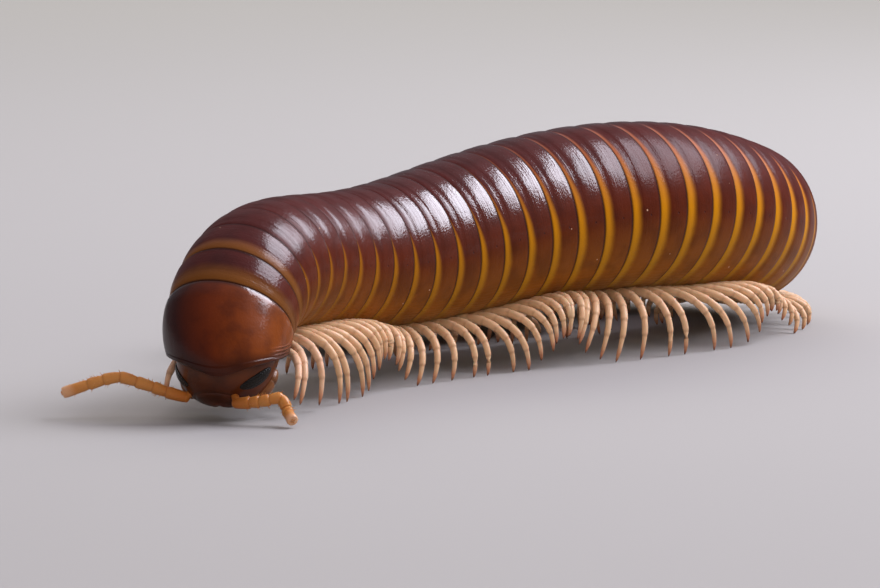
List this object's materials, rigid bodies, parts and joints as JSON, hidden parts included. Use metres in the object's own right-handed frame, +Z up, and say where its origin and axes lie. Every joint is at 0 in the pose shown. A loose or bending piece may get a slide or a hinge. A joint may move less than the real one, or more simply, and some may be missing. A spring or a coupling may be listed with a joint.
{
  "type": "giant millipede",
  "caption": "Still life-size giant millipede with a glossy ringed body curled round behind, a shield behind the head, feelers and many short legs on the floor.",
  "frame": {"origin": "on the floor, under the middle of the model's bounding box", "axes": "+Z up, the head end towards -Y, +Y along the model's longest extent, +X to the right as seen from the head's side of the picture"},
  "size_m": [0.0528, 0.0718, 0.0163],
  "materials": {
    "head_shell": "glossy very dark red-brown shell",
    "collum_shell": "glossy red-brown shell with a dark rim",
    "eye_black": "black, of many tiny lenses",
    "jaw_shell": "satin brown shell",
    "antenna_orange": "satin orange-brown with short hairs",
    "trunk_shell": "glossy maroon rings with orange and ochre bands, and flesh-coloured legs",
    "tail_shell": "glossy dark maroon shell"
  },
  "bodies": {
    "root": {"head": "head_shell", "collum": "collum_shell", "eye_left": "eye_black", "eye_right": "eye_black", "mandible_left": "jaw_shell", "mandible_right": "jaw_shell", "gnathochilarium": "jaw_shell", "antenna_left": "antenna_orange", "antenna_right": "antenna_orange", "trunk_01": "trunk_shell", "trunk_02": "trunk_shell", "trunk_03": "trunk_shell", "trunk_04": "trunk_shell", "trunk_05": "trunk_shell", "trunk_06": "trunk_shell", "trunk_07": "trunk_shell", "trunk_08": "trunk_shell", "telson": "tail_shell", "anal_valve_left": "tail_shell", "anal_valve_right": "tail_shell", "subanal_scale": "tail_shell"}
  },
  "joints": []
}
